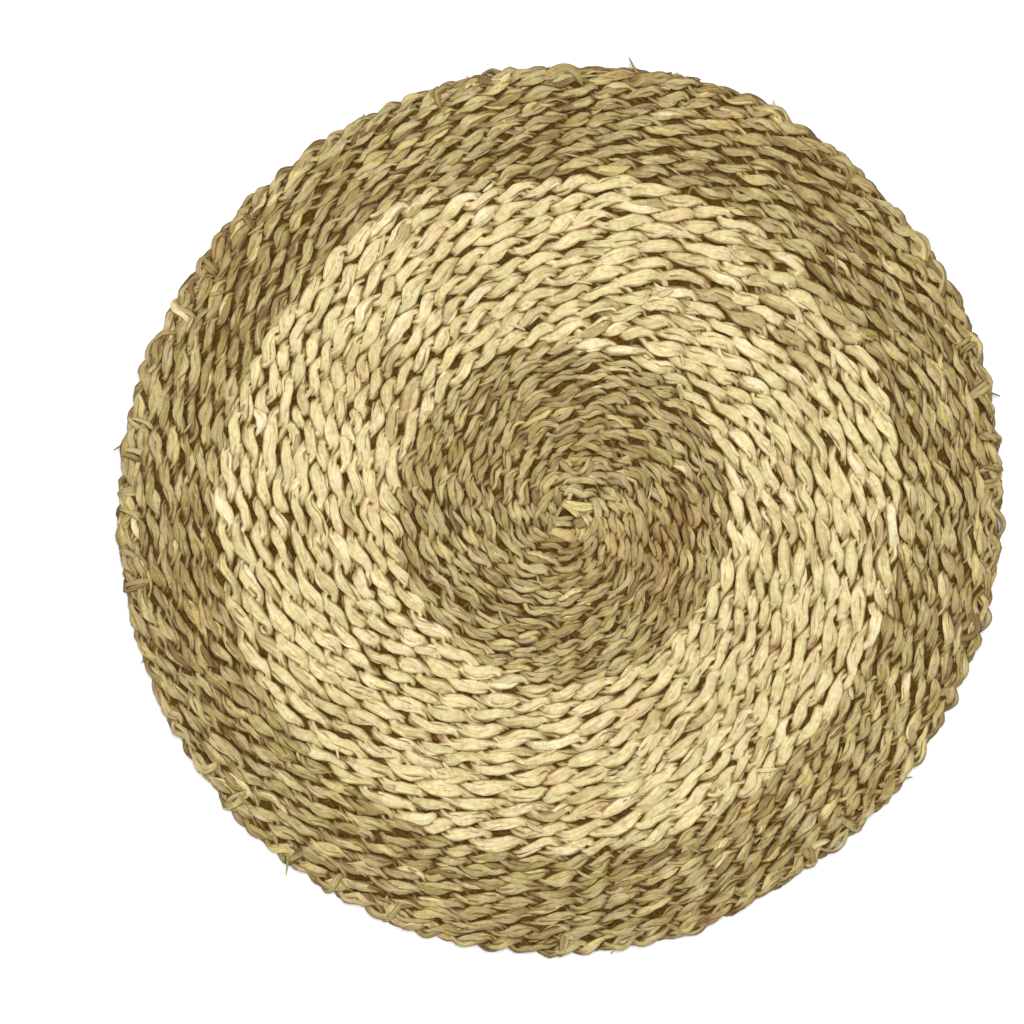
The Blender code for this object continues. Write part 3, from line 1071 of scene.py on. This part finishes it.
def build_knot(tree, materials):
    lines = []
    for k, blade in enumerate(KNOT_BLADES + KNOT_BLADES[:BLADES_BELOW]):
        share = np.linspace(-1.0, 1.0, KNOT_STEPS)
        heading = math.radians(blade["heading"])
        run = share * blade["length"] / 2.0
        side = blade["bend"] * (1.0 - share**2)
        x = blade["x"] + run * math.cos(heading) - side * math.sin(heading)
        y = blade["y"] + run * math.sin(heading) + side * math.cos(heading)
        height = MAT_HEIGHT - KNOT_DEPTH - KNOT_END_DROP * share**4
        if k >= len(KNOT_BLADES):
            height = MAT_HEIGHT - height
        girth = blade["width"] * (1.0 - KNOT_END_TAPER * share**4)
        points = np.stack([x, y, height], axis=1)
        tone = KNOT_TONE["share"] * blade["tone"] + KNOT_TONE["shift"]
        lines.append(line(points, girth=girth, thread=k * THREAD_STEPS["knot"], tone=tone))
    style = {
        **FLAT_STALK, "Sides": 10, "Stalk Width": 0.0029, "Stalk Thickness": 0.0017,
        "Roll": 0.4, "Crease": 0.00014, "Unevenness": 0.0003, "Lens Tone": 0.2,
    }
    piece = grown("centre_knot", lines, tree, style, materials["natural"], STALK_SEEDS["knot"])
    return piece


# Where long ends stand out past the rim, in degrees from +X, and how far
REACHING_ENDS = chart(
    "angle reach",
    (78.5, 0.0040),
    (58.8, 0.0030),
    (17.0, 0.0034),
    (318.8, 0.0030),
    (230.8, 0.0046),
    (169.7, 0.0042),
)
REACHING_GIRTH = 0.75
END_STEPS = 8
ENDS_TOP_HEIGHT = 0.0090
RIM_ENDS = {
    "count": 46, "girth": 0.5, "reach": (-0.002, 0.0018), "run": (0.006, 0.013), "start": 0.006,
    "curve": 1.4, "height": 0.0045, "lift": (-0.0015, 0.001), "droop": (-0.002, 0.001), "taper": 0.75,
}
TOP_ENDS = {
    "length": (0.004, 0.010), "slant": (-0.6, 0.8), "bend": (-0.001, 0.001), "depth": 0.0024,
    "lift": (0.0002, 0.0012), "girth": (0.5, 1.2), "rise": 3.0, "middle": 0.01, "tip": 0.12,
    "span": 0.80, "fullness": 0.7,
}
NATURAL_ENDS = {"count": 120, "girth": 0.5}
PALE_ENDS = {"count": 50, "girth": 0.8}
FIRST_END_RADIUS = 0.004
END_THREADS = (0.0, 90.0)


def build_ends(tree, materials):
    """Loose ends of stalks, where one ran out and the next was laid in, and along the rim."""
    rng = random.Random(SEEDS["ends"])
    natural = []
    for end in REACHING_ENDS:
        natural.append(rim_end(math.radians(end["angle"]), end["reach"], REACHING_GIRTH, rng))
    for _ in range(RIM_ENDS["count"]):
        angle = rng.uniform(0.0, math.tau)
        natural.append(rim_end(angle, rng.uniform(*RIM_ENDS["reach"]), RIM_ENDS["girth"], rng))
    outer = radius_after(ROW_PIECES[2]["last"] + 0.5)
    inner = radius_after(ROW_PIECES[0]["last"] + 0.5)
    ring = (outer, MAT_RADIUS - RIM_WIDTH)
    for _ in range(NATURAL_ENDS["count"]):
        low, high = rng.choice(((FIRST_END_RADIUS, inner), ring, ring))
        natural.append(top_end(low, high, rng, NATURAL_ENDS["girth"]))
    pale = [top_end(inner, outer, rng, PALE_ENDS["girth"]) for _ in range(PALE_ENDS["count"])]
    style = {**FLAT_STALK, "Sides": 8, "Stalk Width": 0.0030, "Stalk Thickness": 0.0010, "Roll": 0.6}
    pieces = []
    for grass, lines in (("natural", natural), ("pale", pale)):
        name, seed = "loose_ends_" + grass, STALK_SEEDS[grass]
        piece = grown(name, lines, tree, style, materials[grass], seed, ENDS_TOP_HEIGHT)
        pieces.append(piece)
    return pieces


def rim_end(angle, reach, girth, rng):
    """An end that leaves the rim, mostly along it, and stands out by its reach."""
    ends = RIM_ENDS
    share = np.linspace(0.0, 1.0, END_STEPS)
    run = rng.uniform(*ends["run"]) / MAT_RADIUS * rng.choice((-1.0, 1.0))
    radius = MAT_RADIUS - ends["start"] + (ends["start"] + reach) * share ** ends["curve"]
    height = ends["height"] + rng.uniform(*ends["lift"]) + rng.uniform(*ends["droop"]) * share
    points = place(radius, angle + run * share, height)
    girth = girth * (1.0 - ends["taper"] * share)
    return line(points, girth=girth, thread=rng.uniform(*END_THREADS))


def top_end(low, high, rng, girth):
    """An end that comes up between two rows of a ring, and lies slanting over them."""
    ends = TOP_ENDS
    radius = math.sqrt(rng.uniform(low**2, high**2))
    share = np.linspace(0.0, 1.0, END_STEPS)
    length = rng.uniform(*ends["length"])
    slant = rng.uniform(*ends["slant"])
    angle = rng.uniform(0.0, math.tau)
    way = rng.choice((-1.0, 1.0))
    radii = radius + length * math.sin(slant) * share + rng.uniform(*ends["bend"]) * share**2
    angles = angle + way * length * math.cos(slant) * share / max(radius, ends["middle"])
    lift = rng.uniform(*ends["lift"])
    rise = ends["depth"] * np.clip(share * ends["rise"], 0.0, 1.0)
    points = place(radii, angles, MAT_HEIGHT - ends["depth"] + rise + lift * share)
    swell = np.sin(math.pi * (ends["tip"] + ends["span"] * share)) ** ends["fullness"]
    girth = girth * rng.uniform(*ends["girth"]) * swell
    return line(points, girth=girth, thread=rng.uniform(*END_THREADS))


PITH_STEPS = 192
PITH_THICKNESS = 0.0008
PITH_SPREAD = 0.0044


def build_pith_and_shade(material):
    """The thin dark layer inside the weave, between its upper and lower strands: crushed fibre, and a
    dark sheet of painted shade that fills the gaps.
    """
    rings = np.arange(0.5, ROW_TURNS + 0.4, 0.5)
    turn = np.arange(PITH_STEPS) / PITH_STEPS
    angle = START_ANGLE - math.tau * turn
    bm = bmesh.new()
    layers = []
    for lift in (PITH_THICKNESS / 2.0, -PITH_THICKNESS / 2.0):
        rows = []
        for ring in rings:
            radius = radius_after(np.minimum(ring + turn - 0.5, ROW_TURNS)) + PITH_SPREAD
            points = place(radius, angle, MIDDLE_HEIGHT + lift)
            rows.append([bm.verts.new(point) for point in points])
        layers.append(rows)
    for rows, outside in ((layers[0], False), (layers[1], True)):
        for inner, outer in zip(rows, rows[1:]):
            for k in range(PITH_STEPS):
                face = (inner[k - 1], outer[k - 1], outer[k], inner[k])
                bm.faces.new(face if outside else face[::-1])
        bm.faces.new(rows[0] if outside else rows[0][::-1])
    for k in range(PITH_STEPS):
        bm.faces.new((layers[0][-1][k - 1], layers[0][-1][k], layers[1][-1][k], layers[1][-1][k - 1]))
    bmesh.ops.recalc_face_normals(bm, faces=bm.faces)
    mesh = bpy.data.meshes.new("inner_pith_and_shade")
    bm.to_mesh(mesh)
    bm.free()
    mesh.materials.append(material)
    mesh.shade_smooth()
    piece = added("inner_pith_and_shade", mesh)
    return piece


# Room


def build_floor():
    bm = bmesh.new()
    bmesh.ops.create_grid(bm, x_segments=1, y_segments=1, size=3.0)
    mesh = bpy.data.meshes.new("table_top")
    bm.to_mesh(mesh)
    bm.free()
    material, tree, shader = new_material("white paper")
    spot = tree.node("ShaderNodeTexCoord").outputs["Object"]
    grain = tree.noise(spot, scale=900.0, detail=2.0)
    tree.plug(tree.mapped(grain, *SPREADS["paper roughness"]), shader.inputs["Roughness"])
    shader.inputs["Base Color"].default_value = (0.92, 0.92, 0.92, 1.0)
    mesh.materials.append(material)
    table = added("table_top", mesh)


def build_lights():
    """A soft box overhead, a second one from the left, and white light all round."""
    world = bpy.data.worlds.new("white room")
    bpy.context.scene.world = world
    world.use_nodes = True
    world.node_tree.nodes["Background"].inputs["Color"].default_value = (1.0, 1.0, 1.0, 1.0)
    world.node_tree.nodes["Background"].inputs["Strength"].default_value = 0.32
    for name, spot, size, power in (
        ("soft_box", (0.15, 0.30, 1.6), 0.8, 25.0),
        ("fill_box", (-0.7, -0.2, 1.2), 0.9, 6.0),
    ):
        light = bpy.data.lights.new(name, "AREA")
        light.shape = "SQUARE"
        light.size = size
        light.energy = power
        lamp = added(name, light)
        lamp.location = spot
        lamp.rotation_euler = (-lamp.location).to_track_quat("-Z", "Y").to_euler()


def build_camera():
    """Straight above the mat, with the mat's middle where the photo has it."""
    data = bpy.data.cameras.new("camera")
    data.lens = LENS
    data.sensor_width = SENSOR
    camera = added("camera", data)
    frame_width = IMAGE_SIDE * METRES_PER_PIXEL
    right = (MAT_MIDDLE_PIXEL[0] - IMAGE_SIDE / 2.0) * METRES_PER_PIXEL
    down = (MAT_MIDDLE_PIXEL[1] - IMAGE_SIDE / 2.0) * METRES_PER_PIXEL
    camera.location = (-right, down, MAT_HEIGHT + frame_width * LENS / SENSOR)
    bpy.context.scene.camera = camera
    bpy.context.scene.view_settings.view_transform = "Standard"


def main():
    build_camera()
    build_floor()
    build_lights()
    tree = stalk_tree()
    materials = {
        "natural": grass_material(
            "natural grass", NATURAL_TINTS, roughness=0.66, stain=shade(214, 184, 142), crease_shade=0.70
        ),
        "pale": grass_material(
            "pale grass", PALE_TINTS, roughness=0.58, stain=shade(232, 222, 204), crease_shade=0.85
        ),
    }
    spokes = lay_spokes()
    # The dark layer inside the weave is partly crushed fibre and partly painted shade for the gaps
    pith = build_pith_and_shade(pith_and_shade_material())
    strands = build_rows(tree, materials, spokes)
    strands.append(build_spokes(tree, materials, spokes))
    strands += build_rim(tree, materials)
    strands.append(build_knot(tree, materials))
    strands += build_ends(tree, materials)
    for piece in (pith, *strands):
        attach(piece, BODY)
        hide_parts(NODE)


main()
